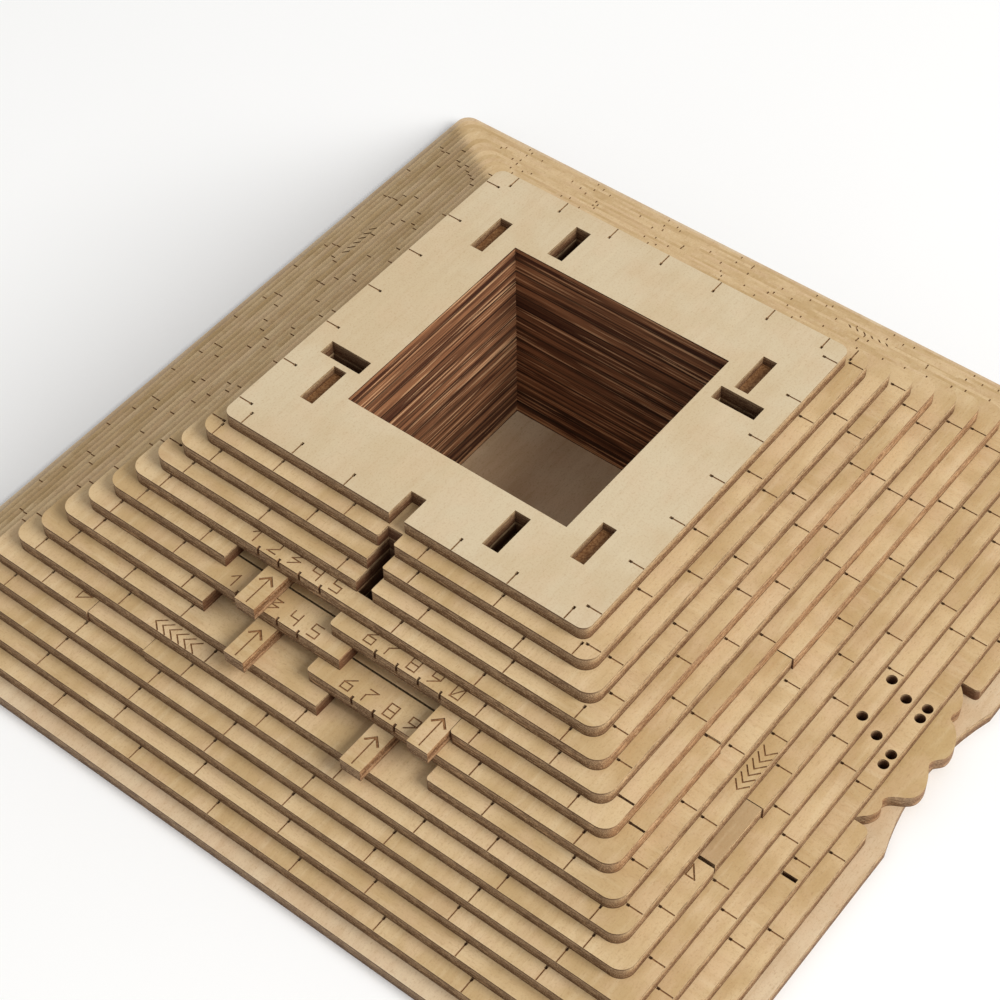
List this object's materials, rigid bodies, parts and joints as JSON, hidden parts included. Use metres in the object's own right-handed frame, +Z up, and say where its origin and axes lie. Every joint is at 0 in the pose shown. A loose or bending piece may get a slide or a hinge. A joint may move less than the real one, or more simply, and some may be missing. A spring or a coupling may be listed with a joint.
{
  "type": "stepped pyramid puzzle box",
  "caption": "Open stepped pyramid puzzle box of stacked plywood plates, with number sliders, push bricks, a pull-out tablet and a square compartment.",
  "frame": {"origin": "centre of the underside of the base plate", "axes": "+Z up through the compartment, -Y towards the side with the number sliders, +X towards the side with the peg holes and the pull-out tablet"},
  "size_m": [0.1846, 0.1846, 0.0501],
  "materials": {
    "ply_face": "matt",
    "ply_top": "matt",
    "ply_loose": "matt",
    "ply_slider": "matt"
  },
  "bodies": {
    "box": {"base_plate": "ply_face", "layer_14": "ply_face", "layer_13": "ply_face", "layer_12": "ply_face", "layer_11": "ply_face", "layer_10": "ply_face", "layer_09": "ply_face", "layer_08": "ply_face", "layer_07": "ply_face", "layer_06": "ply_face", "layer_05": "ply_face", "layer_04": "ply_face", "layer_03": "ply_face", "layer_02": "ply_face", "layer_01": "ply_face", "top_plate": "ply_top", "stop_peg": "ply_loose"},
    "slider_1": {"pointer_1": "ply_slider", "code_bar_1": "ply_slider"},
    "slider_2": {"pointer_2": "ply_slider", "code_bar_2": "ply_slider"},
    "slider_3": {"pointer_3": "ply_slider", "code_bar_3": "ply_slider"},
    "slider_4": {"pointer_4": "ply_slider", "code_bar_4": "ply_slider"},
    "tablet": {"pull_tablet": "ply_loose"},
    "brick_front": {"brick_front": "ply_loose"},
    "brick_right": {"brick_right": "ply_loose"},
    "brick_back": {"brick_back": "ply_loose"},
    "brick_left": {"brick_left": "ply_loose"},
    "brick_upper": {"brick_upper": "ply_loose"}
  },
  "joints": [
    {"name": "slider_1_dial", "type": "slide", "parent": "box", "child": "slider_1", "axis": [1, 0, 0], "range_m": [-0.00696, 0.01256]},
    {"name": "slider_2_dial", "type": "slide", "parent": "box", "child": "slider_2", "axis": [1, 0, 0], "range_m": [-0.01952, 0]},
    {"name": "slider_3_dial", "type": "slide", "parent": "box", "child": "slider_3", "axis": [1, 0, 0], "range_m": [-0.00976, 0.00976]},
    {"name": "slider_4_dial", "type": "slide", "parent": "box", "child": "slider_4", "axis": [1, 0, 0], "range_m": [-0.00976, 0.00976]},
    {"name": "tablet_pull", "type": "slide", "parent": "box", "child": "tablet", "axis": [1, 0, 0], "range_m": [0, 0.018]},
    {"name": "brick_front_push", "type": "slide", "parent": "box", "child": "brick_front", "axis": [0, 1, 0], "range_m": [0, 0.003]},
    {"name": "brick_right_push", "type": "slide", "parent": "box", "child": "brick_right", "axis": [-1, 0, 0], "range_m": [0, 0.003]},
    {"name": "brick_back_push", "type": "slide", "parent": "box", "child": "brick_back", "axis": [0, -1, 0], "range_m": [0, 0.003]},
    {"name": "brick_left_push", "type": "slide", "parent": "box", "child": "brick_left", "axis": [1, 0, 0], "range_m": [0, 0.003]},
    {"name": "brick_upper_push", "type": "slide", "parent": "box", "child": "brick_upper", "axis": [-1, 0, 0], "range_m": [0, 0.003]}
  ]
}
